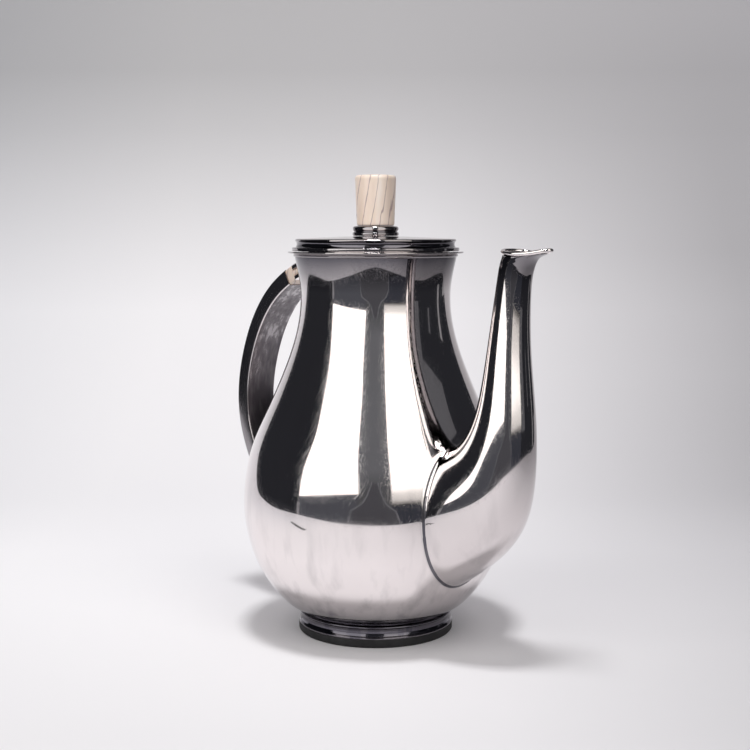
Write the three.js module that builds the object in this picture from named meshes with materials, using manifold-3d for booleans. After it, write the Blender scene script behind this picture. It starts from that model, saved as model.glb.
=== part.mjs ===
// Silver coffee pot, millimetres, +Z up. The origin is the centre of the underside;
// the spout points along +X and the handle along -X.
import * as THREE from 'three';
import { mergeVertices } from 'three/addons/utils/BufferGeometryUtils.js';
import Module from 'manifold-3d';

const wasm = await Module();
wasm.setup();

// Driving dimensions
const HEIGHT = 210.8;
const GAUGE = 0.8;
const GAP = 0.3;
const BODY_SIDES = 40;

const PAD_RADIUS = 36;
const PAD_HEIGHT = 3.6;
const FOOT_TOP = 10.6;
const FOOT_GAUGE = 2.2;
const BODY_BOTTOM = 10.9;
const MOUTH_Z = 173.4;
const BELLY = [
  [33.6, BODY_BOTTOM], [39, 12.5], [46, 18.6], [53.4, 28.9], [58.4, 41.2], [61.2, 56.4], [60.5, 71.7],
  [57.1, 86.8], [50.7, 101.9], [42.1, 121.8], [35.9, 141.6], [34.6, 159.4], [37.1, MOUTH_Z],
];

const RIM_RADIUS = 40.3;
const RIM_TOP = 176;
const RIM_INNER = 33.8;
const RIM_SLEEVE = 2.8;
const LID_RADIUS = 38.4;
const LID_SEAT = RIM_TOP + GAP;
const LID_SHOULDER = 181.8;
const LID_CENTRE = 183.1;
const BEZEL_RADIUS = RIM_INNER - 0.4;
const BEZEL_DEPTH = 9;

const COLLAR_RADIUS = 10.6;
const COLLAR_TOP = 187.5;
const KNOB_FOOT = COLLAR_TOP + GAP;
const KNOB_LOW_RADIUS = 8.6;
const KNOB_HIGH_RADIUS = 9.4;
const STUD_RADIUS = 1.8;
const WASHER_RADIUS = 6;
const NUT_RADIUS = 4;

// Side outlines of the spout in its plane of symmetry, [x, z] from root to mouth,
// and its half width at the same stations.
const SPOUT_BACK = [
  [26, 78], [38.2, 83.9], [47.8, 90.2], [58.1, 94.6], [68.1, 109.9], [73.6, 136.7],
  [77.6, 162], [79.2, 170.3], [80, 173.6], [80.7, 175.8],
];
const SPOUT_FRONT = [
  [54, 29.7], [70, 40.5], [85.6, 56.8], [93.1, 79.3], [94.1, 106.1], [91.7, 135.3],
  [91.8, 160], [93.4, 169.6], [96.4, 174], [103.4, 176.2],
];
const SPOUT_HALF_WIDTH = [24.7, 24.2, 21, 16.3, 12.5, 9.5, 7.8, 7.8, 8, 8.2];
const SPOUT_SIDES = 20;
const SPOUT_STEPS = 18;
const BEAK_START = 0.76;
const LIP_WIRE = 0.85;
const LIP_PATH = [[104.4, 0, 177.6], [101.6, 3, 177.2], [97, 5.6, 176.4], [90.5, 8, 176.2], [84, 6.2, 177]];
const LIP_BACK = [81.6, 0, 177.4];

// Centre line of the handle and its sockets, [x, z] from inside the neck to inside the belly.
const HANDLE_LINE = [
  [-28, 171.4], [-36, 169.6], [-45.8, 166.8], [-53.3, 163.4], [-66.3, 154.9],
  [-79.2, 139.7], [-86.6, 124], [-90.5, 108.2], [-90.4, 92.9], [-85.3, 77.5],
  [-78.6, 66], [-71.3, 57.2], [-63, 49.4], [-54, 42.5], [-48, 38.5],
];
const UPPER_REACH = 27.8;
const LOWER_REACH = 33.6;
const HANDLE_WIDTH = 17.2;
const HANDLE_THICK = 8;
const STRAP_GAUGE = 0.9;
const HANDLE_STEPS = 16;
const INSULATOR_LENGTH = 5.2;
const TENON_LENGTH = 4.5;
const SOCKET_REACH = 25;
const PIN_RADIUS = 0.9;
const PIN_DEPTH = 5.6;
const FORK_WIDTH = 3.4;
const FORK_DEPTH = 3.6;

const STRAINER_RADIUS = 2.1;
const STRAINER_PITCH = 7;
const STRAINER_Z = 62;

const silver = { color: 0xd9d9d6, roughness: 0.12, metalness: 1 };
const bone = { color: 0xe8dcc6, roughness: 0.45, metalness: 0 };
const ebonite = { color: 0x1d1d1e, roughness: 0.7, metalness: 0 };

// Helpers
function solid(geometry) {
  const bare = geometry.index ? geometry.toNonIndexed() : geometry.clone();
  bare.deleteAttribute('normal');
  bare.deleteAttribute('uv');
  const merged = mergeVertices(bare, 1e-4);
  return new wasm.Manifold(new wasm.Mesh({
    numProp: 3,
    vertProperties: new Float32Array(merged.attributes.position.array),
    triVerts: new Uint32Array(merged.index.array),
  }));
}

function surface(body) {
  const { vertProperties, triVerts } = body.getMesh();
  const geometry = new THREE.BufferGeometry();
  geometry.setAttribute('position', new THREE.BufferAttribute(new Float32Array(vertProperties), 3));
  geometry.setIndex(new THREE.BufferAttribute(new Uint32Array(triVerts), 1));
  return geometry;
}

function piece(name, shape, look) {
  const geometry = shape.isBufferGeometry ? surface(solid(shape)) : surface(shape);
  const mesh = new THREE.Mesh(geometry, new THREE.MeshStandardMaterial(look));
  mesh.name = name;
  return mesh;
}

// A turned piece: the profile is [radius, z], closed or starting and ending on the axis.
function turned(profile, sides = BODY_SIDES) {
  const points = profile.map(([r, z]) => new THREE.Vector2(r, z));
  return new THREE.LatheGeometry(points, sides).rotateX(Math.PI / 2);
}

function ring(profile, sides) {
  return turned([...profile, profile[0]], sides);
}

function curve2(points) {
  return new THREE.SplineCurve(points.map(([a, b]) => new THREE.Vector2(a, b)));
}

// Moves every vertex of a geometry through a function of its position.
function reshaped(geometry, place) {
  const position = geometry.attributes.position;
  for (let i = 0; i < position.count; i += 1) {
    position.setXYZ(i, ...place(position.getX(i), position.getY(i), position.getZ(i)));
  }
  return geometry;
}

function arc(cx, cz, radius, from, to, steps) {
  return Array.from({ length: steps + 1 }, (_, i) => {
    const angle = THREE.MathUtils.degToRad(from + ((to - from) * i) / steps);
    return [cx + radius * Math.cos(angle), cz + radius * Math.sin(angle)];
  });
}

// Body, foot and mouth
const bellyLine = curve2(BELLY);
const BELLY_STEPS = 18;

// The body's outline moved out along its normal.
function grown(by) {
  return Array.from({ length: BELLY_STEPS + 1 }, (_, i) => {
    const [point, tangent] = [bellyLine.getPoint(i / BELLY_STEPS), bellyLine.getTangent(i / BELLY_STEPS)];
    return [point.x + tangent.y * by, Math.min(point.y - tangent.x * by, MOUTH_Z)];
  });
}

// What stands against the body is cut back by this, to the clearance GAP.
function bodyHull() {
  return solid(turned([[0, BODY_BOTTOM], ...grown(GAP), [RIM_RADIUS, RIM_TOP], [0, RIM_TOP]]));
}

function bodyShell() {
  const profile = [[0, BODY_BOTTOM], ...grown(0), ...grown(-GAUGE).reverse(), [0, BODY_BOTTOM + GAUGE]];
  const shell = solid(turned(profile));
  return strainerHoles().reduce((body, hole) => body.subtract(hole), shell);
}

// Seven round holes through the wall behind the spout, one in the middle of six.
function strainerHoles() {
  const places = [[0, 0], ...arc(0, 0, STRAINER_PITCH, 30, 330, 5)];
  return places.map(([across, up]) => {
    const drill = new THREE.CylinderGeometry(STRAINER_RADIUS, STRAINER_RADIUS, 30, 8);
    return solid(drill.rotateZ(Math.PI / 2).translate(60, across, STRAINER_Z + up));
  });
}

function footRing() {
  const low = PAD_HEIGHT + GAP;
  const inner = PAD_RADIUS - FOOT_GAUGE - 1;
  return ring([
    [inner, low], [PAD_RADIUS, low], [PAD_RADIUS, low + 0.5], [35.1, 5.6], [34.9, 7.2],
    [35.3, 8.6], [35.7, 9.1], [35.6, 9.5], [34.8, 9.6], [34.3, 10], [33.9, FOOT_TOP],
    [inner - 3, FOOT_TOP], [inner - 3, FOOT_TOP - 1], [inner, FOOT_TOP - 2.5],
  ]);
}

function basePad() {
  return turned([
    [0, 0], [PAD_RADIUS - 0.5, 0], [PAD_RADIUS, 0.5], [PAD_RADIUS, PAD_HEIGHT], [0, PAD_HEIGHT],
  ]);
}

// The moulding round the mouth: a bead below, a flat flange, and a sleeve inside the neck.
function rimMount() {
  const sleeve = MOUTH_Z - RIM_SLEEVE;
  return ring([
    [RIM_INNER, sleeve], [RIM_INNER + 0.7, sleeve], [RIM_INNER + 0.8, MOUTH_Z + GAP],
    [37.3, MOUTH_Z + GAP], [37.7, MOUTH_Z + 0.8], [37.6, MOUTH_Z + 1.5], [38.3, RIM_TOP - 0.8],
    [RIM_RADIUS, RIM_TOP - 0.7], [RIM_RADIUS, RIM_TOP], [RIM_INNER, RIM_TOP],
  ]);
}

// Spout: a tapering tube of oval section between its front and back outlines.
const spoutBack = curve2(SPOUT_BACK);
const spoutFront = curve2(SPOUT_FRONT);
const spoutWidth = curve2(SPOUT_HALF_WIDTH.map((w) => [w, 0]));

// A point on a curve, or past either end along its tangent.
function reach(curve, along) {
  const held = THREE.MathUtils.clamp(along, 0, 1);
  return curve.getPoint(held).addScaledVector(curve.getTangent(held), (along - held) * curve.getLength());
}

// Near the mouth the section grows a beak: its back stays round and its front is drawn out.
function spoutPoint(angle, along, inset) {
  const [back, front] = [reach(spoutBack, along), reach(spoutFront, along)];
  const width = reach(spoutWidth, Math.min(along, 1)).x;
  const half = front.distanceTo(back) / 2;
  const forward = front.clone().sub(back).normalize();
  const beak = Math.max(0, along - BEAK_START) / (1 - BEAK_START);
  const shift = beak * Math.max(0, half - width);
  const cosine = Math.cos(angle);
  const drawn = cosine > 0 ? 2 * shift * cosine ** 4 : 0;
  const out = (cosine * (half - shift) + drawn) * (1 - inset / half) - shift;
  const centre = back.add(front).multiplyScalar(0.5).addScaledVector(forward, out);
  return [
    centre.x,
    Math.sin(angle) * (width - inset),
    centre.y - beak ** 2 * Math.sin(angle) ** 2,
  ];
}

function spoutTube(inset, from, to) {
  const barrel = new THREE.CylinderGeometry(1, 1, 1, SPOUT_SIDES, SPOUT_STEPS);
  return solid(reshaped(barrel, (x, y, z) => {
    const middle = x === 0 && z === 0;
    const along = THREE.MathUtils.lerp(from, to, 0.5 - y);
    const point = spoutPoint(Math.atan2(z, x), along, inset);
    const opposite = spoutPoint(Math.atan2(z, x) + Math.PI, along, inset);
    return middle ? point.map((v, i) => (v + opposite[i]) / 2) : point;
  }));
}

function spout() {
  const tube = spoutTube(0, 0, 1).subtract(spoutTube(GAUGE, -0.02, 1.002));
  return tube.subtract(bodyHull());
}

function spoutLip() {
  const side = LIP_PATH.slice(1).map(([x, y, z]) => new THREE.Vector3(x, y, z));
  const other = side.map((p) => new THREE.Vector3(p.x, -p.y, p.z)).reverse();
  const tip = new THREE.Vector3(...LIP_PATH[0]);
  const path = new THREE.CatmullRomCurve3([tip, ...side, new THREE.Vector3(...LIP_BACK), ...other], true);
  return new THREE.TubeGeometry(path, 36, LIP_WIRE, 8, true);
}

// Handle: everything on it lies along one line, and is placed by its distance along that line.
const handleLine = new THREE.CatmullRomCurve3(HANDLE_LINE.map(([x, z]) => new THREE.Vector3(x, 0, z)));
const lineLength = handleLine.getLength();
const HANDLE_START = UPPER_REACH;
const HANDLE_END = lineLength - LOWER_REACH;

function handlePoint(distance) {
  const share = distance / lineLength;
  return { point: handleLine.getPointAt(share), tangent: handleLine.getTangentAt(share) };
}

// A rectangular bar or tube that follows the handle line between two distances from its start.
function strap(width, thick, from, to, steps = 1, gauge = 0) {
  const shape = new THREE.Shape(rectangle(width, thick));
  if (gauge) shape.holes.push(new THREE.Path(rectangle(width - 2 * gauge, thick - 2 * gauge)));
  const bar = new THREE.ExtrudeGeometry(shape, { depth: 1, steps, bevelEnabled: false });
  return reshaped(bar, (across, out, along) => {
    const { point, tangent } = handlePoint(THREE.MathUtils.lerp(from, to, along));
    return [point.x + tangent.z * out, -across, point.z - tangent.x * out];
  });
}

function rectangle(width, thick) {
  const corner = 0.6;
  const [w, t] = [width / 2, thick / 2];
  return [
    [w - corner, -t], [w, corner - t], [w, t - corner], [w - corner, t],
    [corner - w, t], [-w, t - corner], [-w, corner - t], [corner - w, -t],
  ].map(([x, y]) => new THREE.Vector2(x, y));
}

function handle() {
  const bar = strap(HANDLE_WIDTH, HANDLE_THICK, HANDLE_START, HANDLE_END, HANDLE_STEPS, STRAP_GAUGE);
  return solid(bar)
    .subtract(pinHole(HANDLE_START + TENON_LENGTH / 2))
    .subtract(pinHole(HANDLE_END - TENON_LENGTH / 2));
}

// A bone block between handle and socket, with a tenon into each and a tongue in the socket's fork.
function insulator(edge, away) {
  const inner = 2 * (STRAP_GAUGE + GAP);
  const seat = edge + away * INSULATOR_LENGTH;
  const end = seat + away * TENON_LENGTH;
  const flush = HANDLE_WIDTH - GAP;
  const block = strap(flush, HANDLE_THICK - GAP, edge + away * GAP, seat, 2);
  const tongue = strap(flush, FORK_WIDTH - 2 * GAP, edge + away * GAP, seat + away * FORK_DEPTH, 3);
  const tenons = strap(HANDLE_WIDTH - inner, HANDLE_THICK - inner, edge - away * TENON_LENGTH, end, 6);
  return [tongue, tenons]
    .reduce((bone, bar) => bone.add(upright(bar, away)), upright(block, away))
    .subtract(pinHole(edge - away * TENON_LENGTH / 2))
    .subtract(pinHole(end - away * TENON_LENGTH / 2));
}

// A strap swept against the line's direction comes out inside out; this turns it back.
function upright(bar, away) {
  if (away > 0) return solid(bar);
  const bare = bar.index ? bar.toNonIndexed() : bar;
  const position = bare.attributes.position;
  for (let i = 0; i < position.count; i += 3) {
    const first = [position.getX(i), position.getY(i), position.getZ(i)];
    position.setXYZ(i, position.getX(i + 1), position.getY(i + 1), position.getZ(i + 1));
    position.setXYZ(i + 1, ...first);
  }
  return solid(bare);
}

// A silver socket soldered to the body: a rectangular tube, cut to the body's curve,
// with a fork in each side for the bone's tongue.
function socket(edge, away) {
  const start = edge + away * (INSULATOR_LENGTH + GAP);
  const sleeve = strap(HANDLE_WIDTH, HANDLE_THICK, start, edge + away * SOCKET_REACH, 4, STRAP_GAUGE);
  const fork = strap(HANDLE_WIDTH + 2, FORK_WIDTH, start - away, start + away * FORK_DEPTH);
  return upright(sleeve, away)
    .subtract(upright(fork, away))
    .subtract(bodyHull())
    .subtract(pinHole(edge + away * (INSULATOR_LENGTH + TENON_LENGTH / 2)));
}

function pinHole(distance) {
  return solid(pinRod(distance, PIN_RADIUS + GAP / 2, 3, GAP));
}

// A round pin driven in square to the handle from its outer face, blind at its far end.
function pinRod(distance, radius, proud = 0, below = 0) {
  const { point, tangent } = handlePoint(distance);
  const outer = HANDLE_THICK / 2 + proud;
  const length = outer - HANDLE_THICK / 2 + PIN_DEPTH + below;
  const rod = new THREE.CylinderGeometry(radius, radius, length, 12).translate(0, outer - length / 2, 0);
  return reshaped(rod, (x, y, z) => [
    point.x + tangent.x * x + tangent.z * y, z, point.z + tangent.z * x - tangent.x * y,
  ]);
}

// Lid
function lidCover() {
  const top = curve2([[LID_RADIUS - 2, LID_SHOULDER], [24, LID_SHOULDER + 0.7], [5, LID_CENTRE]]);
  const under = [
    [STUD_RADIUS + GAP, LID_CENTRE - GAUGE], [24, LID_SHOULDER - 0.5], [35, LID_SHOULDER - 1],
    [35, LID_SEAT + 1.3], [BEZEL_RADIUS, LID_SEAT + 1.3], [BEZEL_RADIUS, LID_SEAT],
  ];
  return ring([
    ...under, [LID_RADIUS - 0.3, LID_SEAT], [LID_RADIUS, LID_SEAT + 0.4], [LID_RADIUS, 177.7],
    [LID_RADIUS - 0.5, 177.9], ...arc(38.1, 179.3, 1.9, 220, 140, 3), [36.9, 180.8],
    [36.9, 181.3], ...top.getPoints(3).map((p) => [p.x, p.y]), [STUD_RADIUS + GAP, LID_CENTRE],
  ]);
}

function lidBezel() {
  const top = LID_SEAT + 1.3 - GAP;
  return ring([
    [BEZEL_RADIUS - 1.4, RIM_TOP - BEZEL_DEPTH], [BEZEL_RADIUS - 0.4, RIM_TOP - BEZEL_DEPTH],
    [BEZEL_RADIUS - GAP, RIM_TOP - BEZEL_DEPTH + 1], [BEZEL_RADIUS - GAP, top], [BEZEL_RADIUS - 1.4, top],
  ]);
}

function knobCollar() {
  const low = LID_CENTRE + GAP;
  return ring([
    [STUD_RADIUS + GAP, low], [10, low], [COLLAR_RADIUS, low + 0.4], [COLLAR_RADIUS, low + 1.3],
    [9.9, low + 1.6], [9.9, low + 1.9], ...arc(9.4, low + 3, 1.1, -60, 60, 3),
    [STUD_RADIUS + GAP, COLLAR_TOP],
  ], 28);
}

function knob() {
  const bore = STUD_RADIUS + GAP;
  const blind = KNOB_FOOT + 14;
  return turned([
    [0, blind], [bore, blind], [bore, KNOB_FOOT], [KNOB_LOW_RADIUS - 0.5, KNOB_FOOT],
    [KNOB_LOW_RADIUS, KNOB_FOOT + 0.5], [KNOB_HIGH_RADIUS, HEIGHT - 1.4],
    [KNOB_HIGH_RADIUS - 0.4, HEIGHT - 0.5], [KNOB_HIGH_RADIUS - 1.4, HEIGHT], [0, HEIGHT],
  ], 28);
}

function knobStud() {
  const end = LID_CENTRE - 8;
  return turned([[0, end], [STUD_RADIUS, end], [STUD_RADIUS, KNOB_FOOT + 13], [0, KNOB_FOOT + 13]], 16);
}

function knobWasher() {
  const top = LID_CENTRE - GAUGE - GAP - 0.3;
  const bore = STUD_RADIUS + GAP;
  return ring([[bore, top - 1], [WASHER_RADIUS, top - 1], [WASHER_RADIUS, top], [bore, top]], 24);
}

function knobNut() {
  const top = LID_CENTRE - GAUGE - 2 * GAP - 1.3;
  const bore = STUD_RADIUS + GAP;
  return ring([[bore, top - 3], [NUT_RADIUS, top - 3], [NUT_RADIUS, top], [bore, top]], 6);
}

const pot = new THREE.Group();
pot.add(
  piece('base_pad', basePad(), ebonite),
  piece('foot_ring', footRing(), silver),
  piece('body_shell', bodyShell(), silver),
  piece('rim_mount', rimMount(), silver),
  piece('spout', spout(), silver),
  piece('spout_lip', spoutLip(), silver),
  piece('handle', handle(), silver),
);

const ENDS = [['upper', HANDLE_START, -1], ['lower', HANDLE_END, 1]];
for (const [name, edge, away] of ENDS) {
  const handlePin = edge - away * TENON_LENGTH / 2;
  const socketPin = edge + away * (INSULATOR_LENGTH + TENON_LENGTH / 2);
  pot.add(
    piece(`${name}_insulator`, insulator(edge, away), bone),
    piece(`${name}_socket`, socket(edge, away), silver),
    piece(`${name}_handle_pin`, pinRod(handlePin, PIN_RADIUS - GAP / 2), silver),
    piece(`${name}_socket_pin`, pinRod(socketPin, PIN_RADIUS - GAP / 2), silver),
  );
}

const lid = new THREE.Group();
lid.add(
  piece('lid_cover', lidCover(), silver),
  piece('lid_bezel', lidBezel(), silver),
  piece('knob_collar', knobCollar(), silver),
  piece('knob', knob(), bone),
  piece('knob_stud', knobStud(), silver),
  piece('knob_washer', knobWasher(), silver),
  piece('knob_nut', knobNut(), silver),
);

const coffeePot = new THREE.Group();
coffeePot.add(pot, lid);

export default coffeePot;
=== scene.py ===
"""Silver coffee pot: the finished surfaces, materials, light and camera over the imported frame."""

import math

import bmesh
import bpy
import numpy as np
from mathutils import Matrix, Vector


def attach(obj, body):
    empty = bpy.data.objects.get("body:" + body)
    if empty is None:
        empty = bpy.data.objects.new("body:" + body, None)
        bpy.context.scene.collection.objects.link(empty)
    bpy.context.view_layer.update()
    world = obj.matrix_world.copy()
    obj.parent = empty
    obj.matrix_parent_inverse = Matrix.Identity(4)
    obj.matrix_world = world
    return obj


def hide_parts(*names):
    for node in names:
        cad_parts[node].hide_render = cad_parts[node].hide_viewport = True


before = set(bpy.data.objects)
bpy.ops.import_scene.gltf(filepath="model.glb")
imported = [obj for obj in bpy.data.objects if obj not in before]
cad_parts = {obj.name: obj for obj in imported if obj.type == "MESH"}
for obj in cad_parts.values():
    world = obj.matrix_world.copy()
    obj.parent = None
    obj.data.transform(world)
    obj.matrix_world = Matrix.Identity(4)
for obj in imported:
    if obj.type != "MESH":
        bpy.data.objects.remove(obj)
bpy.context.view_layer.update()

# Metres in a millimetre, and the millimetres from the axis at which a closed outline ends
MM = 0.001
AXIS = 0.01

# The CAD model's driving sizes, millimetres, but with the spout a little slimmer at its mouth
HEIGHT = 210.8
GAUGE = 0.8
PAD_RADIUS = 36
PAD_HEIGHT = 3.6
FOOT_BOTTOM = 3.9
FOOT_TOP = 10.6
BODY_BOTTOM = 10.9
MOUTH_Z = 173.4
BELLY = [
    (33.6, BODY_BOTTOM), (39, 12.5), (46, 18.6), (53.4, 28.9), (58.4, 41.2), (61.2, 56.4), (60.5, 71.7),
    (57.1, 86.8), (50.7, 101.9), (42.1, 121.8), (35.9, 141.6), (34.6, 159.4), (37.1, MOUTH_Z),
]
RIM_RADIUS = 40.3
RIM_TOP = 176
RIM_INNER = 33.8
LID_RADIUS = 38.4
LID_SEAT = 176.3
LID_SHOULDER = 181.8
LID_CENTRE = 183.1
BEZEL_RADIUS = 33.1
COLLAR_RADIUS = 10.6
COLLAR_TOP = 187.5
KNOB_LOW_RADIUS = 8.6
KNOB_HIGH_RADIUS = 9.4
SPOUT_BACK = [
    (26, 78), (38.2, 83.9), (47.8, 90.2), (58.1, 94.6), (68.1, 109.9), (73.6, 136.7),
    (77.6, 162), (79.2, 170.3), (80, 173.6), (80.7, 175.8),
]
SPOUT_FRONT = [
    (54, 29.7), (70, 40.5), (85.6, 56.8), (93.1, 79.3), (94.1, 106.1), (91.7, 135.3),
    (91.8, 160), (93.4, 169.6), (96.4, 174), (103.4, 176.2),
]
SPOUT_HALF_WIDTH = [24.7, 24.2, 21, 16.3, 12.5, 9.5, 7.8, 7.7, 7.5, 7.4]
BEAK_START = 0.76
LIP_SIDE = [(101.6, 3, 177.2), (97, 5.6, 176.4), (90.5, 8, 176.2), (84, 6.2, 177)]
LIP_TIP = (104.4, 0, 177.6)
LIP_BACK = (81.6, 0, 177.4)
LIP_WIRE = 0.85
HANDLE_LINE = [
    (-28, 171.4), (-36, 169.6), (-45.8, 166.8), (-53.3, 163.4), (-66.3, 154.9),
    (-79.2, 139.7), (-86.6, 124), (-90.5, 108.2), (-90.4, 92.9), (-85.3, 77.5),
    (-78.6, 66), (-71.3, 57.2), (-63, 49.4), (-54, 42.5), (-48, 38.5),
]
UPPER_REACH = 27.8
LOWER_REACH = 33.6
HANDLE_WIDTH = 17.2
HANDLE_THICK = 8
STUD_RADIUS = 2.1

# CAD nodes shown as they are
FITTINGS = [
    "knob_stud", "knob_washer", "knob_nut",
    "upper_handle_pin", "lower_handle_pin", "upper_socket_pin", "lower_socket_pin",
]

# Finish that the CAD model leaves out, millimetres: edges rounded off, faces a little crowned, and the
# spout's fillet with a darker line along its seam. FILLET_GROWS and SEAM_ENDS are cosines of the angle
# round the spout.
BONE_EDGE = 0.25
SOCKET_EDGE = 0.2
HANDLE_EDGE = 0.7
HANDLE_CROWN = 0.12
FILLET_LEAST = 1.2
FILLET_MORE = 3.4
FILLET_GROWS = 0.4
SEAM_REACH = 0.9
SEAM_ENDS = -0.3

# Camera, millimetres and degrees: the azimuth is measured as the frame's views measure it
CAMERA_AZIMUTH = 47.6
CAMERA_DISTANCE = 626.6
CAMERA_HEIGHT = 185.8
CAMERA_PITCH = 6.086
CAMERA_ASIDE = -0.28
LENS = 65.28

# The table's paper, metres, and its painted shade: the paper's colour darkens across the view, up the wall
# and near the camera, as the light falls off
TABLE_FRONT = 0.386
TABLE_HALF = 0.62
TABLE_BACK = 0.9
BEND = 0.6
WALL_TOP = 1.6
EDGE_POWER = 2.2
FLARE = 0.35
PAPER_TINT = [
    (0.1, (0.865, 0.865, 0.895)), (0.3, (0.975, 0.965, 0.985)), (0.5, (0.985, 0.972, 0.995)),
    (0.9, (0.96, 0.945, 0.985)),
]
# Painted shade: the paper's colour darkens up the wall and near the camera, and SHADE_ACROSS with SHADE_UP
# darken it to the right
PAINTED_FALLOFF_UP = [(0, 1), (0.11, 0.98), (0.166, 0.88), (0.226, 0.76), (0.29, 0.63), (0.355, 0.53), (0.42, 0.525)]
PAINTED_FALLOFF_NEAR = [(-0.15, 1), (-0.03, 0.94), (0.07, 0.87), (0.14, 0.83)]
SHADE_ACROSS = [(0, 0), (0.05, 0.04), (0.1, 0.12), (0.2, 0.29), (0.35, 0.53), (0.5, 0.61)]
SHADE_UP = [(0, 1), (0.06, 0.87), (0.166, 0.8), (0.226, 0.64), (0.29, 0.44), (0.355, 0.22), (0.42, 0.09)]

# Glowing cards that the silver reflects, painted reflections of the room: distances in metres, and
# FIGURE's corners as (degrees, metres up)
FLOOR = -0.9
CURTAIN = 2.8
FIGURE_AWAY = 1.2
FIGURE = [
    (-24, FLOOR), (21, FLOOR), (19, -0.1), (16, 0.03), (8, 0.12), (5, 0.2),
    (2, 0.36), (-2, 0.36), (-6, 0.2), (-10, 0.12), (-20, 0.03), (-22, -0.1),
]
SIDE_AWAY = 1.5


# ---------- curves and meshes ----------

class Spline:
    """A natural cubic spline through points, at equal steps of its parameter or at chord length."""

    def __init__(self, points, chordal=False):
        self.p = np.array(points, float).reshape(len(points), -1)
        steps = np.linalg.norm(np.diff(self.p, axis=0), axis=1) if chordal else np.ones(len(points) - 1)
        self.k = np.concatenate([[0], np.cumsum(steps)])
        n, h = len(self.k), np.diff(self.k)
        a, b = np.eye(n), np.zeros_like(self.p)
        for i in range(1, n - 1):
            a[i, i - 1 : i + 2] = h[i - 1], 2 * (h[i - 1] + h[i]), h[i]
            rise = (self.p[i + 1] - self.p[i]) / h[i] - (self.p[i] - self.p[i - 1]) / h[i - 1]
            b[i] = 6 * rise
        self.m = np.linalg.solve(a, b)

    def __call__(self, share):
        u = np.atleast_1d(share) * self.k[-1]
        i = np.clip(np.searchsorted(self.k, u, side="right") - 1, 0, len(self.k) - 2)
        h = (self.k[i + 1] - self.k[i])[:, None]
        s, t = (self.k[i + 1] - u)[:, None], (u - self.k[i])[:, None]
        bow = (s**3 - s * h * h) * self.m[i] + (t**3 - t * h * h) * self.m[i + 1]
        return bow / (6 * h) + (s * self.p[i] + t * self.p[i + 1]) / h


def put_piece(mesh, body, material, replaces, flat):
    """The mesh smoothed, but crisp at edges sharper than flat degrees, and placed on its body."""
    mesh.polygons.foreach_set("use_smooth", [True] * len(mesh.polygons))
    if flat:
        mesh.set_sharp_from_angle(angle=math.radians(flat))
    mesh.materials.append(material)
    piece = bpy.data.objects.new(mesh.name, mesh)
    bpy.context.scene.collection.objects.link(piece)
    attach(piece, body)
    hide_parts(*replaces)
    return piece


def new_piece(name, verts, faces, body, material, replaces, flat=None):
    """A mesh piece from millimetre coordinates."""
    mesh = bpy.data.meshes.new(name)
    mesh.from_pydata([[c * MM for c in v] for v in verts], [], faces)
    bm = bmesh.new()
    bm.from_mesh(mesh)
    bmesh.ops.remove_doubles(bm, verts=bm.verts, dist=1e-7)
    bmesh.ops.recalc_face_normals(bm, faces=bm.faces)
    bm.to_mesh(mesh)
    bm.free()
    return put_piece(mesh, body, material, replaces, flat)


def grid_faces(rows, columns, closed_rows, closed_columns):
    """Quads of a grid of rows by columns vertices, numbered row by row."""
    faces = []
    for i in range(rows if closed_rows else rows - 1):
        for j in range(columns if closed_columns else columns - 1):
            i2, j2 = (i + 1) % rows, (j + 1) % columns
            faces.append((i * columns + j, i * columns + j2, i2 * columns + j2, i2 * columns + j))
    return faces


def lathe(name, profile, body, material, replaces, sides, flat, closed=True):
    """A turned piece; the profile is (radius, z), closed on itself or ending on the axis."""
    turn = np.linspace(0, 2 * math.pi, sides, endpoint=False)
    verts = [(r * math.cos(a), r * math.sin(a), z) for r, z in profile for a in turn]
    faces = grid_faces(len(profile), sides, closed, True)
    return new_piece(name, verts, faces, body, material, replaces, flat)


def softened(profile, radius, closed=True, steps=4):
    """The profile with every corner rounded off over up to radius on each side."""
    n, result = len(profile), []
    for i, point in enumerate(profile):
        if not closed and i in (0, n - 1):
            result.append(tuple(point))
            continue
        before, here, after = (np.array(profile[j % n], float) for j in (i - 1, i, i + 1))
        reach_in = min(radius, np.linalg.norm(here - before) * 0.45)
        reach_out = min(radius, np.linalg.norm(after - here) * 0.45)
        start = here + (before - here) / np.linalg.norm(before - here) * reach_in
        end = here + (after - here) / np.linalg.norm(after - here) * reach_out
        for t in np.linspace(0, 1, steps + 1):
            result.append(tuple((1 - t) ** 2 * start + 2 * t * (1 - t) * here + t * t * end))
    return result


def arc(cx, cz, radius, start, end, steps):
    """Points of an arc about (cx, cz), its angles in degrees."""
    angles = np.radians(np.linspace(start, end, steps + 1))
    return [(cx + radius * math.cos(a), cz + radius * math.sin(a)) for a in angles]


# ---------- materials ----------

# Grey of the darkening film: patina in the lid's and collar's hollows, partly painted shade on the foot
TARNISH_AND_SHADE_GREY = (0.10, 0.096, 0.116, 1)
WAVE_DEPTH = 0.00035
HAIR_DEPTH = 0.000007
HAIR_TURNS = [(0.12, 0.1, 0), (0.5, -0.3, 0.8), (1.2, 0.4, 0.3), (-0.35, 0.25, 1.7)]
HAIR_SCALE = (3200, 3200, 30)
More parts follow.
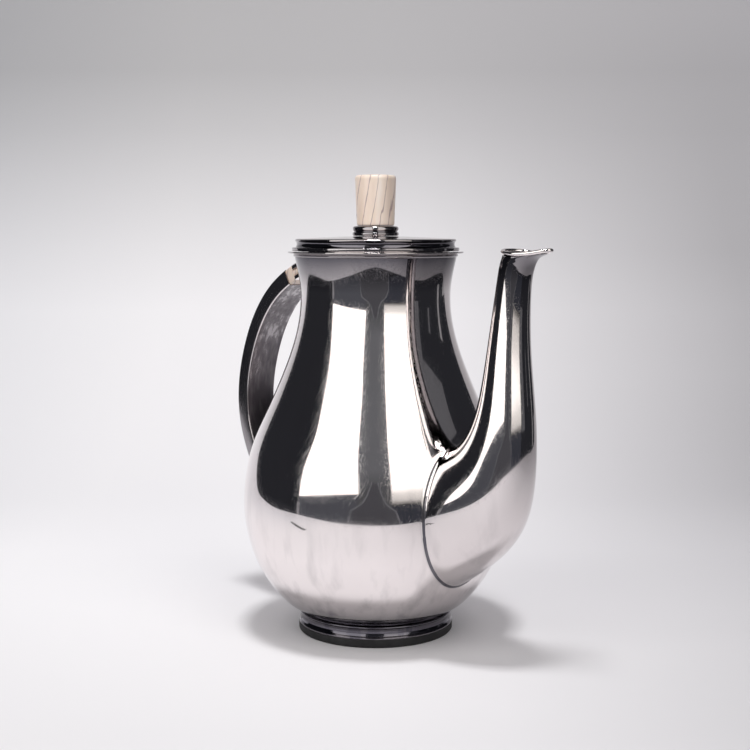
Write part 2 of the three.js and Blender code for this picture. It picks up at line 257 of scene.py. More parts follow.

# How much darker the silver is, by height in millimetres, from 0 for bright to 1 for black. In the lid's
# and the collar's hollows it is patina, on the foot it is partly patina and partly painted shade, and on
# the body, spout, rim, seam and handle it only makes the silver darker where the stops say
BODY_DARKENING = [(0, 0.75), (13, 0.7), (20, 0.36), (30, 0.08), (42, 0), (158, 0), (166, 0.6), (173, 0.93)]
SPOUT_DARKENING = [(30, 0.2), (70, 0.12), (104, 0.04), (150, 0.05), (164, 0.35), (170, 0.75), (176, 0.85)]
# Partly painted shade: the foot is kept near black like the shadowed floor beside it, which it reflects
FOOT_TARNISH_AND_SHADE = [(4, 0.85), (6, 0.98), (9.4, 0.93), (10.6, 0.98)]
RIM_DARKENING = [(172, 0.8), (174.5, 0.7), (175.4, 0.35), (176, 0.3)]
LID_TARNISH = [(176.3, 0.5), (177.6, 0.6), (178.2, 0.92), (180.6, 0.92), (181.3, 0.5), (182, 0.15)]
COLLAR_TARNISH = [(183, 0.4), (185, 0.85), (186, 0.55), (187.7, 0.7)]
SEAM_DARKENING = [(0, 0.93), (60, 0.93), (85, 0.6)]
HANDLE_DARKENING = [(40, 0.75), (105, 0.5), (130, 0.25), (180, 0.15)]

# How far the spout's skin leans its shading upward, by height in millimetres
SPOUT_LIFT = [(84, 0), (104, 0.05), (150, 0.045), (166, 0.03), (172, 0)]


class Nodes:
    """A new material's node tree, with short calls to add and join nodes."""

    def __init__(self, name):
        self.material = bpy.data.materials.new(name)
        self.material.use_nodes = True
        self.tree = self.material.node_tree
        self.shader = self.tree.nodes["Principled BSDF"]

    def add(self, kind, inputs=(), **settings):
        """A new node; inputs are values or other nodes' outputs, and settings are its own properties."""
        node = self.tree.nodes.new("ShaderNode" + kind)
        for key, value in settings.items():
            setattr(node, key, value)
        for key, value in dict(inputs).items():
            if isinstance(value, bpy.types.NodeSocket):
                self.tree.links.new(value, node.inputs[key])
            else:
                node.inputs[key].default_value = value
        return node

    def set(self, **values):
        """The shader's own inputs, each a value or a node's output."""
        for key, value in values.items():
            socket = self.shader.inputs[key.replace("_", " ")]
            if isinstance(value, bpy.types.NodeSocket):
                self.tree.links.new(value, socket)
            else:
                socket.default_value = value

    def coordinates(self, scale=(1, 1, 1), turn=(0, 0, 0)):
        place = self.add("TexCoord").outputs["Object"]
        mapping = self.add("Mapping", {"Vector": place, "Scale": scale, "Rotation": turn})
        return mapping.outputs["Vector"]

    def height(self):
        return self.add("SeparateXYZ", {"Vector": self.coordinates()}).outputs["Z"]

    def noise(self, scale, detail, stretch=(1, 1, 1)):
        where = self.coordinates(stretch)
        return self.add("TexNoise", {"Vector": where, "Scale": scale, "Detail": detail}).outputs["Fac"]

    def scratches(self):
        """Fine straight lines, one set for each turn: 0 in a scratch and 1 beside it."""
        place = self.add("TexCoord").outputs["Object"]
        lines = 1.0
        for i, turn in enumerate(HAIR_TURNS):
            turned = self.add("Mapping", {"Vector": place, "Rotation": turn, "Location": (i, 0, 0)})
            drawn = self.add("Mapping", {"Vector": turned.outputs["Vector"], "Scale": HAIR_SCALE})
            fibre = self.add("TexNoise", {"Vector": drawn.outputs["Vector"], "Scale": 1, "Detail": 1})
            lines = self.math("MULTIPLY", self.between(fibre.outputs["Fac"], 1, 0, 0.66, 0.72), lines)
        return lines

    def ramp(self, value, stops):
        node = self.add("ValToRGB", {"Fac": value})
        while len(node.color_ramp.elements) < len(stops):
            node.color_ramp.elements.new(0.5)
        for element, (at, colour) in zip(node.color_ramp.elements, stops):
            element.position = at
            element.color = (*colour, 1)
        return node.outputs["Color"]

    def level(self, value, stops):
        """A number that runs smoothly through stops of (value, level)."""
        first, last = stops[0][0], stops[-1][0]
        share = self.between(value, 0, 1, first, last)
        return self.ramp(share, [((at - first) / (last - first), (level,) * 3) for at, level in stops])

    def by_height(self, stops):
        """A number that runs smoothly through stops of (height in millimetres, level)."""
        return self.level(self.height(), [(z * MM, level) for z, level in stops])

    def between(self, value, low, high, start=0.0, end=1.0):
        """The value's range from start to end carried over to the range from low to high."""
        limits = {"Value": value, "From Min": start, "From Max": end, "To Min": low, "To Max": high}
        return self.add("MapRange", limits).outputs["Result"]

    def math(self, operation, a, b):
        return self.add("Math", {0: a, 1: b}, operation=operation).outputs["Value"]

    def bump(self, height, distance, strength=1.0, under=None):
        inputs = {"Height": height, "Distance": distance, "Strength": strength}
        if under:
            inputs["Normal"] = under
        return self.add("Bump", inputs).outputs["Normal"]


def tarnished_and_shaded(n, colour, darkening):
    """The colour under a darkening film set by height, with smudges that grow towards the foot: patina in
    the hollows, partly painted shade on the foot.
    """
    smudge = n.between(n.noise(130, 5, (1, 1, 0.22)), 0, 0.3, 0.5, 0.8)
    low_down = n.between(n.height(), 1, 0.15, 0.03, 0.09)
    film = n.math("ADD", n.by_height(darkening), n.math("MULTIPLY", smudge, low_down))
    mix = {"Factor": film, "A": colour, "B": TARNISH_AND_SHADE_GREY}
    return n.add("Mix", mix, data_type="RGBA").outputs["Result"]


def lifted(n, lift):
    """The skin's normal leaning upward by the stops of lift."""
    rise = n.add("CombineXYZ", {"Z": n.by_height(lift)}).outputs["Vector"]
    skin = n.add("NewGeometry").outputs["Normal"]
    leaning = n.add("VectorMath", {0: skin, 1: rise}, operation="ADD").outputs["Vector"]
    return n.add("VectorMath", {0: leaning}, operation="NORMALIZE").outputs["Vector"]


def silver(name, wave=1.0, dull=0.0, darkening=(), lift=()):
    """Polished silver: hammer waves, hairlines and smears, under a darkening film and lift where they are
    given.
    """
    n = Nodes(name)
    smears = n.math("MULTIPLY", n.noise(38, 4), n.noise(14, 3, (1, 1, 3)))
    colour = n.ramp(n.noise(22, 4), [(0.3, (0.87, 0.81, 0.805)), (0.7, (0.92, 0.865, 0.86))])
    if darkening:
        colour = tarnished_and_shaded(n, colour, darkening)
    roughness = n.between(smears, 0.02 + dull, 0.12 + dull, 0.15, 0.5)
    slow = n.bump(n.noise(26, 1), WAVE_DEPTH * wave, under=lifted(n, lift) if lift else None)
    normal = n.bump(n.scratches(), HAIR_DEPTH, 0.5, slow)
    n.set(Base_Color=colour, Metallic=1.0, Roughness=roughness, Normal=normal)
    return n.material


def hazy(name):
    """Silver that polishing doesn't reach: a grey film with paler rubbed patches and drips, painted paler
    towards its top.
    """
    n = Nodes(name)
    patches = n.noise(55, 4, (1, 1, 0.6))
    drips = n.noise(1, 3, (420, 420, 60))
    film = n.math("MULTIPLY", patches, n.between(drips, 0.8, 1.25, 0.35, 0.7))
    # Painted light: the film is paler towards the top of the inner face, standing in for the brighter
    # reflection there
    film = n.math("MULTIPLY", film, n.between(n.height(), 0.84, 1.14, 0.11, 0.165))
    greys = [(0.35, (0.12, 0.11, 0.12)), (0.55, (0.21, 0.197, 0.206)), (0.68, (0.42, 0.40, 0.41))]
    n.set(
        Base_Color=n.ramp(film, greys),
        Metallic=1.0,
        Roughness=n.between(film, 0.36, 0.22, 0.3, 0.7),
        Normal=n.bump(drips, 0.00004, 0.4),
    )
    return n.material


def bone(name):
    """Polished bone: warm cream with thin wavy grain lines and paler clouds."""
    n = Nodes(name)
    squeezed = n.coordinates((1, 1, -0.22))
    shape = {"Vector": squeezed, "Scale": 115, "Distortion": 2.6, "Detail": 3, "Detail Scale": 2.2}
    bands = n.add("TexWave", shape, wave_type="BANDS", bands_direction="DIAGONAL").outputs["Fac"]
    lines = n.between(bands, 0.15, 1.0, 0.0, 0.05)
    clouds = n.add("TexNoise", {"Vector": squeezed, "Scale": 150, "Detail": 5}).outputs["Fac"]
    creams = [(0.3, (0.74, 0.60, 0.50)), (0.55, (0.84, 0.71, 0.61)), (0.75, (0.88, 0.80, 0.74))]
    grain = {"Factor": lines, "A": (0.36, 0.27, 0.28, 1), "B": n.ramp(clouds, creams)}
    n.set(
        Base_Color=n.add("Mix", grain, data_type="RGBA").outputs["Result"],
        Roughness=n.between(clouds, 0.45, 0.32),
        Subsurface_Weight=0.08,
        Subsurface_Radius=(0.004, 0.002, 0.001),
        Coat_Weight=0.15,
        Coat_Roughness=0.2,
        Normal=n.bump(n.noise(900, 2, (1, 1, 0.08)), 0.00004, 0.5),
    )
    return n.material


def ebonite(name):
    """Matt black base material, a little paler where it is rubbed."""
    n = Nodes(name)
    rub = n.noise(160, 5)
    n.set(
        Base_Color=n.ramp(rub, [(0.35, (0.010, 0.010, 0.011)), (0.75, (0.026, 0.026, 0.027))]),
        Roughness=n.between(rub, 0.5, 0.72),
        Specular_IOR_Level=0.35,
        Normal=n.bump(n.noise(1400, 3), 0.00005, 0.4),
    )
    return n.material


SILVER = silver("polished_silver", darkening=BODY_DARKENING)
SILVER_SPOUT = silver("spout_silver", darkening=SPOUT_DARKENING, lift=SPOUT_LIFT)
SILVER_TURNED = silver("turned_silver", wave=0.2)
SILVER_FOOT = silver("foot_silver", wave=0.2, darkening=FOOT_TARNISH_AND_SHADE)
SILVER_RIM = silver("rim_silver", wave=0.2, darkening=RIM_DARKENING)
SILVER_LID = silver("lid_silver", wave=0.2, darkening=LID_TARNISH)
SILVER_COLLAR = silver("collar_silver", wave=0.2, darkening=COLLAR_TARNISH)
SILVER_SEAM = silver("seam_silver", dull=0.2, darkening=SEAM_DARKENING)
SILVER_HANDLE = silver("handled_silver", wave=0.6, dull=0.08, darkening=HANDLE_DARKENING)
SILVER_HAZY = hazy("hazy_silver")
BONE = bone("polished_bone")
EBONITE = ebonite("black_base")


# ---------- body, foot and mouth ----------

belly = Spline(BELLY, chordal=True)


def belly_outline(offset, count):
    """The body's outline moved out by offset along its normal."""
    share = np.linspace(0, 1, count)
    points = belly(share)
    slope = np.gradient(points, axis=0)
    slope /= np.linalg.norm(slope, axis=1)[:, None]
    moved = points + offset * np.stack([slope[:, 1], -slope[:, 0]], axis=1)
    return [(r, min(z, MOUTH_Z)) for r, z in moved]


fine_outline = np.array(belly_outline(0, 2000))


def body_radius(z):
    """The radius of the body's outer skin at a height."""
    return np.interp(z, fine_outline[:, 1], fine_outline[:, 0])


def body_shell():
    """The pear-shaped body as a sheet, open at the neck."""
    inside = belly_outline(-GAUGE, 60)[::-1]
    profile = [(AXIS, BODY_BOTTOM), *belly_outline(0, 160), *inside, (AXIS, BODY_BOTTOM + GAUGE)]
    return lathe("body", profile, "pot", SILVER, ["body_shell"], 288, 40, closed=False)


def foot():
    """The foot's concave band, with its bead above."""
    inner = PAD_RADIUS - 3.2
    cove = [(PAD_RADIUS, 3.9), (PAD_RADIUS, 4.5), (35.3, 5.3), (34.95, 6.4), (34.9, 7.5), (35.15, 8.4)]
    bead = arc(35.2, 9.1, 0.5, -50, 90, 6)
    step = [(34.8, 9.7), (34.3, 9.9), (33.9, FOOT_TOP), (inner - 3, FOOT_TOP), (inner, FOOT_BOTTOM)]
    profile = softened(cove + bead + step, 0.15)
    return lathe("foot", profile, "pot", SILVER_FOOT, ["foot_ring"], 240, 40)


def base():
    """The disc under the foot."""
    top = PAD_HEIGHT + 0.3
    line = [(AXIS, 0), (PAD_RADIUS - 0.5, 0), (PAD_RADIUS, 0.6), (PAD_RADIUS, top), (AXIS, PAD_HEIGHT)]
    profile = softened(line, 0.3, False)
    return lathe("base", profile, "pot", EBONITE, ["base_pad"], 240, 40, closed=False)


def rim():
    """The bead under the mouth's flat flange, and the sleeve inside the neck."""
    profile = [
        (RIM_INNER, MOUTH_Z - 2.8), (RIM_INNER + 0.7, MOUTH_Z - 2.8), (RIM_INNER + 0.8, MOUTH_Z + 0.2),
        (37.2, MOUTH_Z + 0.1), *arc(37.1, MOUTH_Z + 0.9, 0.7, -80, 70, 8), (38.4, RIM_TOP - 0.75),
        (RIM_RADIUS, RIM_TOP - 0.7), (RIM_RADIUS, RIM_TOP), (RIM_INNER, RIM_TOP),
    ]
    profile = softened(profile, 0.2)
    return lathe("mouth_moulding", profile, "pot", SILVER_RIM, ["rim_mount"], 240, 40)


# ---------- spout ----------

spout_back = Spline(SPOUT_BACK)
spout_front = Spline(SPOUT_FRONT)
spout_width = Spline([(w,) for w in SPOUT_HALF_WIDTH])


def spout_point(angle, along, inset=0.0):
    """A point of the spout's skin: angle 0 is its front, along runs from root to mouth."""
    back, front = spout_back(along)[0], spout_front(along)[0]
    width = spout_width(along)[0, 0]
    half = np.linalg.norm(front - back) / 2
    forward = (front - back) / (2 * half)
    beak = max(0.0, along - BEAK_START) / (1 - BEAK_START)
    shift = beak * max(0.0, half - width)
    cosine = math.cos(angle)
    reach = cosine * (half - shift)
    if cosine > 0:
        reach += 2 * shift * cosine**4
    x, z = (back + front) / 2 + forward * (reach * (1 - inset / half) - shift)
    return np.array([x, math.sin(angle) * (width - inset), z - beak**2 * math.sin(angle) ** 2])


def leaves_body(angle):
    """Where along the spout its skin comes out through the body."""
    low, high = -0.08, 0.5
    for _ in range(40):
        middle = (low + high) / 2
        x, y, z = spout_point(angle, middle)
        outside = math.hypot(x, y) > body_radius(z)
        low, high = (low, middle) if outside else (middle, high)
    return high


def on_body(point):
    """The point moved straight out from the axis to the body's skin."""
    x, y, z = point
    scale = body_radius(z) / math.hypot(x, y)
    return np.array([x * scale, y * scale, z])


def fillet_foot(seam_point, tangent, reach, toward_spout):
    """Where the fillet ends on the body: reach away from the seam, on the side the spout isn't."""
    x, y, z = seam_point
    r = body_radius(z)
    slope = body_radius(z + 0.5) - body_radius(z - 0.5)
    away = np.cross(tangent, (x / r, y / r, -slope))
    away /= np.linalg.norm(away)
    if away @ toward_spout > 0:
        away = -away
    return on_body(seam_point + away * reach)


def fillet_ends(angles, starts, seam):
    """How far along the spout the fillet ends at each angle, and where it ends on the body."""
    tangent = np.roll(seam, -1, axis=0) - np.roll(seam, 1, axis=0)
    behind = np.clip((FILLET_GROWS - np.cos(angles)) / (FILLET_GROWS + 1), 0, 1)
    reach = FILLET_LEAST + FILLET_MORE * behind**1.5
    leave, land = [], []
    for i, angle in enumerate(angles):
        step = 0.001
        while np.linalg.norm(spout_point(angle, starts[i] + step) - seam[i]) < reach[i]:
            step += 0.0005
        leave.append(starts[i] + step)
        toward_spout = spout_point(angle, leave[i]) - seam[i]
        land.append(fillet_foot(seam[i], tangent[i], reach[i], toward_spout))
    return leave, land


def spout():
    """The skin with a soldered fillet at its root, turned in at the mouth into its bore."""
    around, up, fillet_steps, bore_steps = 144, 110, 16, 60
    angles = np.linspace(0, 2 * math.pi, around, endpoint=False)
    starts = np.array([leaves_body(a) for a in angles])
    seam = np.array([spout_point(a, s) for a, s in zip(angles, starts)])
    leave, land = fillet_ends(angles, starts, seam)
    tops = [spout_point(a, l) for a, l in zip(angles, leave)]
    rows = []
    for t in np.linspace(0, 1, fillet_steps, endpoint=False):
        low, middle, top = (1 - t) ** 2, 2 * t * (1 - t), t * t
        rows.append([low * l + middle * m + top * u for l, m, u in zip(land, seam, tops)])
    for s in np.linspace(0, 1, up):
        rows.append([spout_point(a, l + (1 - l) * s) for a, l in zip(angles, leave)])
    for s in np.linspace(0.999, 0.25, bore_steps):
        rows.append([spout_point(a, s, GAUGE) for a in angles])
    verts = [p for row in rows for p in row]
    faces = grid_faces(len(rows), around, False, True)
    piece = new_piece("spout_skin", verts, faces, "pot", SILVER_SPOUT, ["spout"], 40)
    piece.data.materials.append(SILVER_SEAM)
    darken_seam(piece, seam[np.cos(angles) > SEAM_ENDS])
    return piece


def darken_seam(piece, line):
    """Faces of the fillet's hollow close to the seam take the darker seam material."""
    for face in piece.data.polygons:
        centre = np.array(face.center) / MM
        if np.linalg.norm(line - centre, axis=1).min() < SEAM_REACH:
            face.material_index = 1


def tube(name, path, radius, sides, body, material, replaces):
    """A round wire along a closed path."""
    path = np.array(path)
    ahead = np.roll(path, -1, axis=0) - np.roll(path, 1, axis=0)
    verts = []
    for p, t in zip(path, ahead):
        t = t / np.linalg.norm(t)
        side = np.cross(t, (0, 0, 1))
        side /= np.linalg.norm(side)
        up = np.cross(side, t)
        for a in np.linspace(0, 2 * math.pi, sides, endpoint=False):
            verts.append(p + radius * (math.cos(a) * side + math.sin(a) * up))
    faces = grid_faces(len(path), sides, True, True)
    return new_piece(name, verts, faces, body, material, replaces)


def lip():
    """The wire round the mouth, the same on both sides."""
    other = [(x, -y, z) for x, y, z in reversed(LIP_SIDE)]
    loop = [LIP_TIP, *LIP_SIDE, LIP_BACK, *other]
    spline = Spline(loop * 3 + [LIP_TIP])
    path = spline(np.linspace(1 / 3, 2 / 3, 160, endpoint=False))
    return tube("lip_wire", path, LIP_WIRE, 16, "pot", SILVER_TURNED, ["spout_lip"])


# ---------- handle ----------

handle_line = Spline(HANDLE_LINE, chordal=True)


def handle_frame(distances):
    """Points and unit tangents of the handle's line at distances from its start."""
    share = np.linspace(0, 1, 4000)
    points = handle_line(share)
    length = np.concatenate([[0], np.cumsum(np.linalg.norm(np.diff(points, axis=0), axis=1))])
    at = np.stack([np.interp(distances, length, points[:, i]) for i in (0, 1)], axis=1)
    ahead = np.stack([np.interp(np.add(distances, 0.3), length, points[:, i]) for i in (0, 1)], axis=1)
    tangent = ahead - at
    return at, tangent / np.linalg.norm(tangent, axis=1)[:, None], length[-1]


def rounded_section(width, thick, corner, crown):
    """A rectangle with rounded corners and faces that crown a little."""
    corners = [
        (width / 2 - corner, thick / 2 - corner, 0), (corner - width / 2, thick / 2 - corner, 90),
        (corner - width / 2, corner - thick / 2, 180), (width / 2 - corner, corner - thick / 2, 270),
    ]
    points = [p for cx, cz, start in corners for p in arc(cx, cz, corner, start, start + 90, 5)]
    section = []
    for i, (a, b) in enumerate(points):
        section.append((a, b))
        if i % 6 == 5:
            c, d = points[(i + 1) % len(points)]
            for t in (0.2, 0.4, 0.6, 0.8):
                swell = crown * 4 * t * (1 - t)
                x, z = a + (c - a) * t, b + (d - b) * t
                along = np.array([c - a, d - b]) / math.hypot(c - a, d - b)
                section.append((x + along[1] * swell, z - along[0] * swell))
    return section


def handle():
    """The strap between the two bone blocks; its inner face is hazy."""
    length = handle_frame([0])[2]
    distances = np.linspace(UPPER_REACH, length - LOWER_REACH, 180)
    at, tangent, _ = handle_frame(distances)
    section = rounded_section(HANDLE_WIDTH, HANDLE_THICK, HANDLE_EDGE, HANDLE_CROWN)
    verts = []
    for (x, z), (tx, tz) in zip(at, tangent):
        verts += [(x + tz * out, across, z - tx * out) for across, out in section]
    faces = grid_faces(len(at), len(section), False, True)
    last = len(verts) - len(section)
    faces += [tuple(range(len(section))), tuple(range(last, len(verts)))]
    piece = new_piece("handle_strap", verts, faces, "pot", SILVER_HANDLE, ["handle"], 50)
    piece.data.materials.append(SILVER_HAZY)
    for face in piece.data.polygons:
        x, _, z = face.center / MM
        nearest = np.argmin(np.hypot(at[:, 0] - x, at[:, 1] - z))
        inward = Vector((-tangent[nearest][1], 0, tangent[nearest][0]))
        if abs(face.normal.y) < 0.3 and face.normal @ inward > 0.8:
            face.material_index = 1
    return piece


def refined(name, node, body, material, width):
    """A CAD node's own shape with its edges rounded off."""
    bm = bmesh.new()
    bm.from_mesh(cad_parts[node].data)
    bmesh.ops.remove_doubles(bm, verts=bm.verts, dist=2e-6)
    bmesh.ops.dissolve_limit(bm, angle_limit=math.radians(2), verts=bm.verts, edges=bm.edges)
    sharp = [e for e in bm.edges if e.is_manifold and e.calc_face_angle(0) > math.radians(30)]
    bmesh.ops.bevel(
        bm, geom=sharp, offset=width * MM, segments=3, profile=0.5, affect="EDGES", clamp_overlap=True,
    )
    mesh = bpy.data.meshes.new(name)
    bm.to_mesh(mesh)
    bm.free()
    return put_piece(mesh, body, material, [node], 35)


# ---------- lid and knob ----------

def lid():
    """The stepped cover: a flat underside, a concave band round its edge and a low dome."""
    under = [
        (STUD_RADIUS, LID_CENTRE - GAUGE), (24, LID_SHOULDER - 0.3), (35, LID_SHOULDER - 1),
        (35, LID_SEAT + 1.3), (33.4, LID_SEAT + 1.3), (33.4, LID_SEAT),
    ]
    step = [
        (LID_RADIUS - 0.2, LID_SEAT), (LID_RADIUS, LID_SEAT + 0.3), (LID_RADIUS, 177.7),
        (LID_RADIUS - 0.5, 177.9),
    ]
    cove = arc(38.1, 179.3, 1.9, 222, 138, 10)
    edge = [(36.9, 180.8), (36.9, 181.35), (36.5, 181.75)]
    crown = Spline([(36, LID_SHOULDER), (24, 182.45), (12, 182.95), (STUD_RADIUS, LID_CENTRE)])
    dome = [tuple(p) for p in crown(np.linspace(0, 1, 24))]
    profile = softened(under + step, 0.12) + cove + softened(edge, 0.1, False) + dome
    return lathe("lid_top", profile, "lid", SILVER_LID, ["lid_cover"], 240, 40)


def bezel():
    """The flange that drops into the neck."""
    low, top = RIM_TOP - 9, LID_SEAT + 1
    line = [(32, low), (33, low), (BEZEL_RADIUS, low + 1), (BEZEL_RADIUS, top), (32, top)]
    profile = softened(line, 0.3)
    return lathe("lid_flange", profile, "lid", SILVER_TURNED, ["lid_bezel"], 240, 40)


def collar():
    """Two rings under the knob."""
    low = LID_CENTRE + 0.05
    profile = [
        (STUD_RADIUS, low), (10.1, low), (COLLAR_RADIUS, low + 0.4), (COLLAR_RADIUS, low + 1.4),
        (9.9, low + 1.75), (9.9, low + 2.05), *arc(9.4, low + 3.2, 1.15, -62, 78, 10),
        (8.4, COLLAR_TOP + 0.2), (STUD_RADIUS, COLLAR_TOP + 0.2),
    ]
    profile = softened(profile, 0.18)
    return lathe("collar", profile, "lid", SILVER_COLLAR, ["knob_collar"], 128, 40)


def knob():
    """The bone knob, wider at the top, with a slightly domed end."""
    foot_z = COLLAR_TOP + 0.3
    profile = [
        (AXIS, foot_z), (KNOB_LOW_RADIUS - 0.4, foot_z), (KNOB_LOW_RADIUS, foot_z + 0.5),
        (KNOB_HIGH_RADIUS, HEIGHT - 1.5), (KNOB_HIGH_RADIUS - 0.4, HEIGHT - 0.5),
        (KNOB_HIGH_RADIUS - 1.5, HEIGHT - 0.1), (4, HEIGHT), (AXIS, HEIGHT),
    ]
    profile = softened(profile, 0.5, False)
    return lathe("bone_knob", profile, "lid", BONE, ["knob"], 128, 50, closed=False)


# ---------- stage, light and camera ----------

toward = Vector((math.sin(math.radians(CAMERA_AZIMUTH)), -math.cos(math.radians(CAMERA_AZIMUTH)), 0))
right = Vector((math.cos(math.radians(CAMERA_AZIMUTH)), math.sin(math.radians(CAMERA_AZIMUTH)), 0))


def stage_place(aside, ahead, up):
    """Metres from the pot's axis: to the camera's right, towards the camera, and up."""
    return right * aside + toward * ahead + Vector((0, 0, up))


def stage_mesh(name, verts, faces, material, sees):
    """A piece of the set, with the kinds of ray that see it."""
    mesh = bpy.data.meshes.new(name)
    mesh.from_pydata(verts, [], faces)
    mesh.polygons.foreach_set("use_smooth", [True] * len(mesh.polygons))
    mesh.materials.append(material)
    thing = bpy.data.objects.new(name, mesh)
    bpy.context.scene.collection.objects.link(thing)
    thing.visible_camera = "camera" in sees
    thing.visible_diffuse = "diffuse" in sees
    thing.visible_glossy = "glossy" in sees
    thing.visible_transmission = "diffuse" in sees
    thing.visible_shadow = "shadow" in sees
    return thing


def glow(name, colour, strength=1.0, rise=()):
    """A surface that shines evenly, or as stops of rise, (height in metres, share), say."""
    n = Nodes(name)
    light = n.add("Emission", {"Color": (*colour, 1), "Strength": strength})
    if rise:
        power = n.math("MULTIPLY", n.level(n.height(), rise), strength)
        n.tree.links.new(power, light.inputs["Strength"])
    out = n.tree.nodes["Material Output"]
    n.tree.links.new(light.outputs["Emission"], out.inputs["Surface"])
    n.tree.nodes.remove(n.shader)
    return n.material


def paper():
    """Pale paper with painted shade: darker up the wall, near the camera and to the camera's right, where
    the light falls off.
    """
    n = Nodes("pale_paper")
    where = n.coordinates(turn=(0, 0, -math.radians(CAMERA_AZIMUTH)))
    split = n.add("SeparateXYZ", {"Vector": where}).outputs
    ahead = n.math("MULTIPLY", split["Y"], -1)
    up = n.level(split["Z"], PAINTED_FALLOFF_UP)
    near = n.level(ahead, PAINTED_FALLOFF_NEAR)
    shade = n.math("MULTIPLY", n.level(split["X"], SHADE_ACROSS), n.level(split["Z"], SHADE_UP))
    painted_falloff = n.math("MULTIPLY", n.math("MULTIPLY", up, near), n.math("SUBTRACT", 1, shade))
    tint = n.ramp(n.between(split["X"], 0, 1, -0.5, 0.5), PAPER_TINT)
    mix = n.add("Mix", {"Factor": 1.0, "A": tint, "B": painted_falloff}, data_type="RGBA", blend_type="MULTIPLY")
    n.set(Base_Color=mix.outputs["Result"], Roughness=0.9, Specular_IOR_Level=0.1)
    return n.material


def sweep(material):
    """Seamless paper on a table with a rounded front edge, curved up behind into a wall."""
    across = np.linspace(-1, 1, 49)
    rows = []
    for t in np.linspace(0, 1, 6):
        row = []
        for u in across:
            front = TABLE_FRONT * (1 - abs(u) ** EDGE_POWER) ** (1 / EDGE_POWER)
            row.append((u * TABLE_HALF, front * (1 - t), 0))
        rows.append(row)
    for a in np.linspace(0, math.pi / 2, 24):
        ahead = -TABLE_BACK + BEND * (1 - math.sin(a))
        half = TABLE_HALF * (1 - FLARE * ahead)
        rows.append([(u * half, ahead, BEND * (1 - math.cos(a))) for u in across])
    rows.append([(u * TABLE_HALF * (1 + FLARE * TABLE_BACK), -TABLE_BACK, WALL_TOP) for u in across])
    verts = [stage_place(*point) for row in rows for point in row]
    faces = grid_faces(len(rows), len(across), False, False)
    return stage_mesh("table_paper", verts, faces, material, ("camera", "diffuse", "glossy", "shadow"))


def round_sweep(name, radius, bend, top, drop, material, sees):
    """A floor and wall all the way round, for what the table doesn't cover."""
    line = [(0.0, -drop), (radius - bend, -drop)]
    line += [(radius - bend + bend * math.sin(a), bend - bend * math.cos(a) - drop)
             for a in np.linspace(0.1, math.pi / 2, 16)]
    line.append((radius, top))
    turns = np.linspace(0, 2 * math.pi, 96, endpoint=False)
    verts = [(r * math.cos(a), r * math.sin(a), z) for r, z in line for a in turns]
    return stage_mesh(name, verts, grid_faces(len(line), 96, False, True), material, sees)


def card(name, corners, material, lights=False):
    """A card seen only in reflections, unless it also lights: corners are (azimuth, distance, height)."""
    turned = [(math.radians(a), d, z) for a, d, z in corners]
    verts = [stage_place(d * math.sin(a), d * math.cos(a), z) for a, d, z in turned]
    sees = ("glossy", "diffuse") if lights else ("glossy",)
    return stage_mesh(name, verts, [tuple(range(len(verts)))], material, sees)


def upright(name, left, right, low, high, away, material):
    """An upright card between two azimuths and two heights, at one distance."""
    corners = [(left, away, low), (right, away, low), (right, away, high), (left, away, high)]
    return card(name, corners, material)


def put_light(data, place, aim):
    """A light object at place, turned to shine at aim."""
    light = bpy.data.objects.new(data.name, data)
    bpy.context.scene.collection.objects.link(light)
    light.location = place
    light.rotation_euler = (aim - place).to_track_quat("-Z", "Y").to_euler()
    return light


def set_panels():
    """Two tall white panels left and right of the camera; the right one fades towards its foot."""
    white = glow("panel_white", (1.0, 0.985, 0.955), 1.75)
    left = [(-67, 1.72, 0.135), (-14, 2.4, 0.36), (-24, 2.4, 5.1), (-67, 1.75, 2.6)]
    card("panel_left", left, white, True)
    fade = [(0.13, 0.03), (0.16, 0.12), (0.22, 0.4), (0.34, 0.52), (0.5, 1)]
    fading = glow("panel_fading", (1.0, 0.975, 0.93), 1.7, fade)
    right_hand = [(13, 2.2, 0.13), (51.5, 2.2, 0.13), (52.5, 2.2, 5.2), (13, 2.2, 5.2)]
    card("panel_right", right_hand, fading, True)


def set_curtains():
    """Painted reflections: glowing cards for a dark room with curtains below and between the panels, the
    middle curtain glowing brighter higher up.
    """
    room = glow("dark_room", (0.019, 0.020, 0.024))
    round_sweep("room", 6, 3, 6, -FLOOR, room, ("glossy",))
    curtain = glow("grey_curtain", (0.072, 0.076, 0.088))
    left = [(-67.5, 3.0, FLOOR), (-14, CURTAIN, FLOOR), (-14, CURTAIN, 0.9), (-67.5, 3.0, 0.4)]
    card("curtain_left", left, curtain)
    lit = glow("lit_curtain", (0.130, 0.135, 0.145), 1.0, [(0.4, 0.55), (1.2, 1)])
    middle = [(-16, CURTAIN, FLOOR), (13, CURTAIN, FLOOR), (13, CURTAIN, 4.8), (-22, CURTAIN, 4.8)]
    card("curtain_middle", middle, lit)
    shaded = glow("shaded_curtain", (0.038, 0.041, 0.052))
    upright("curtain_right", 13, 51.5, FLOOR, 0.8, CURTAIN, shaded)


def set_figure():
    """Painted reflection: a glowing dark seated shape in front of the camera, with a thin pale edge behind
    it as a painted highlight.
    """
    figure = glow("dark_figure", (0.066, 0.067, 0.075))
    card("figure", [(a, FIGURE_AWAY, z) for a, z in FIGURE], figure)
    edge = glow("figure_edge", (0.19, 0.195, 0.21))
    wider = [(a + math.copysign(0.75, a), FIGURE_AWAY + 0.02, z + 0.005) for a, z in FIGURE]
    card("figure_edge", wider, edge)


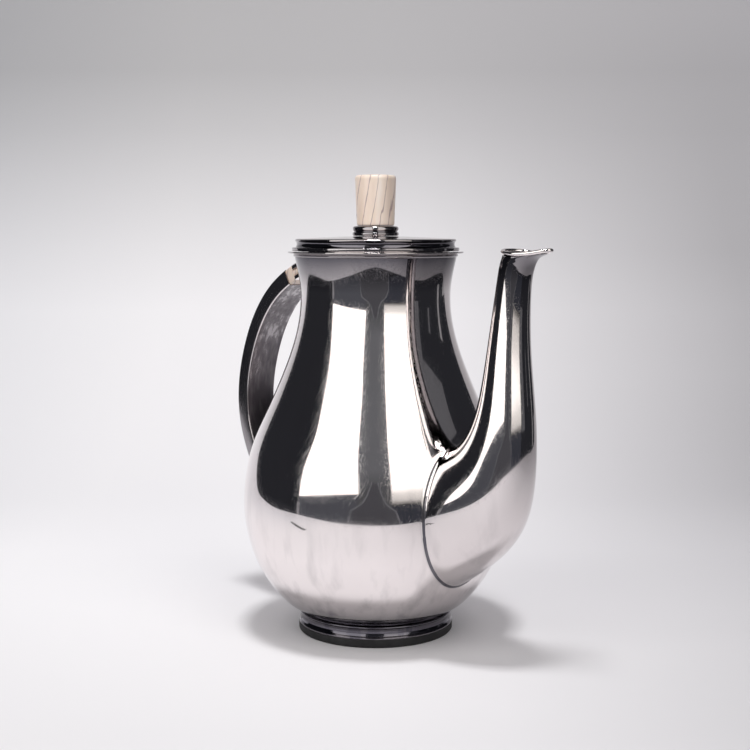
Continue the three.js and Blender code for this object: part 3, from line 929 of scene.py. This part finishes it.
def set_side_cards():
    """Painted reflections: glowing cards for stands, a wall and a ceiling at the sides, which the spout
    and the neck reflect.
    """
    steel = glow("stand_steel", (0.26, 0.26, 0.27))
    upright("stand", -68.5, -65.5, -0.5, 0.06, 1.6, steel)
    side = glow("side_grey", (0.10, 0.102, 0.11))
    wall = [(52.5, SIDE_AWAY, 0.1), (66, SIDE_AWAY, 0.1), (69, SIDE_AWAY, 0.95), (52.5, SIDE_AWAY, 0.95)]
    card("side_wall", wall, side)
    ceiling = [(58, SIDE_AWAY, 0.82), (92, SIDE_AWAY, 0.78), (88, SIDE_AWAY, 1.2), (58, SIDE_AWAY, 1.3)]
    card("side_ceiling", ceiling, side)
    upright("side_leg", 122, 131, -0.4, 0.05, SIDE_AWAY, steel)
    upright("side_stand", 107, 111, -0.1, 0.45, SIDE_AWAY, steel)
    upright("side_rod", 84, 87, 0.2, 0.5, SIDE_AWAY, side)


def set_tape():
    """A strip of dark tape on the table, left of the camera's view."""
    tape = Nodes("dark_tape")
    tape.set(Base_Color=(0.015, 0.015, 0.018, 1), Roughness=0.6)
    strip = [(-0.311, 0.108), (-0.2, 0.134), (-0.2, 0.152), (-0.311, 0.126)]
    verts = [stage_place(x, y, 0.0006) for x, y in strip]
    stage_mesh("tape", verts, [(0, 1, 2, 3)], tape.material, ("glossy",))


def set_stage():
    pale = paper()
    sweep(pale)
    round_sweep("far_paper", 3.2, 1.2, 3.5, 0.0006, pale, ("camera",))
    set_panels()
    set_curtains()
    set_figure()
    set_side_cards()
    set_tape()


def set_lights():
    """A small soft box overhead, a snooted spot on the knob, and the studio's even air."""
    box = bpy.data.lights.new("overhead", "AREA")
    box.shape = "RECTANGLE"
    box.size = box.size_y = 0.17
    box.energy = 5.6
    put_light(box, stage_place(-0.04, 0.17, 1.1), stage_place(0, 0, 0))
    snoot = bpy.data.lights.new("snoot", "SPOT")
    snoot.spot_size = math.radians(3.4)
    snoot.spot_blend = 0.6
    snoot.shadow_soft_size = 0.03
    snoot.energy = 12
    put_light(snoot, stage_place(-0.75, 0.75, 0.45), stage_place(0, 0, 0.199)).visible_glossy = False
    world = bpy.data.worlds.new("studio_air")
    bpy.context.scene.world = world
    world.use_nodes = True
    air = world.node_tree.nodes["Background"]
    air.inputs["Color"].default_value = (0.92, 0.91, 0.99, 1)
    air.inputs["Strength"].default_value = 0.285
    world.cycles_visibility.glossy = False


def set_camera():
    data = bpy.data.cameras.new("camera")
    data.lens, data.sensor_width = LENS, 36
    data.clip_start, data.clip_end = 0.01, 20
    camera = bpy.data.objects.new("camera", data)
    bpy.context.scene.collection.objects.link(camera)
    camera.location = stage_place(CAMERA_ASIDE * MM, CAMERA_DISTANCE * MM, CAMERA_HEIGHT * MM)
    pitch = math.radians(CAMERA_PITCH)
    look = -toward * math.cos(pitch) - Vector((0, 0, math.sin(pitch)))
    camera.rotation_euler = look.to_track_quat("-Z", "Y").to_euler()
    bpy.context.scene.camera = camera


body_shell()
foot()
base()
rim()
spout()
lip()
handle()
for end in ("upper", "lower"):
    refined(end + "_bone", end + "_insulator", "pot", BONE, BONE_EDGE)
for end in ("upper", "lower"):
    refined(end + "_ferrule", end + "_socket", "pot", SILVER_TURNED, SOCKET_EDGE)
lid()
bezel()
collar()
knob()
for node in FITTINGS:
    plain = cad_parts[node]
    plain.data.materials.clear()
    plain.data.materials.append(SILVER_TURNED)

set_stage()
set_lights()
set_camera()
bpy.context.scene.view_settings.view_transform = "Standard"
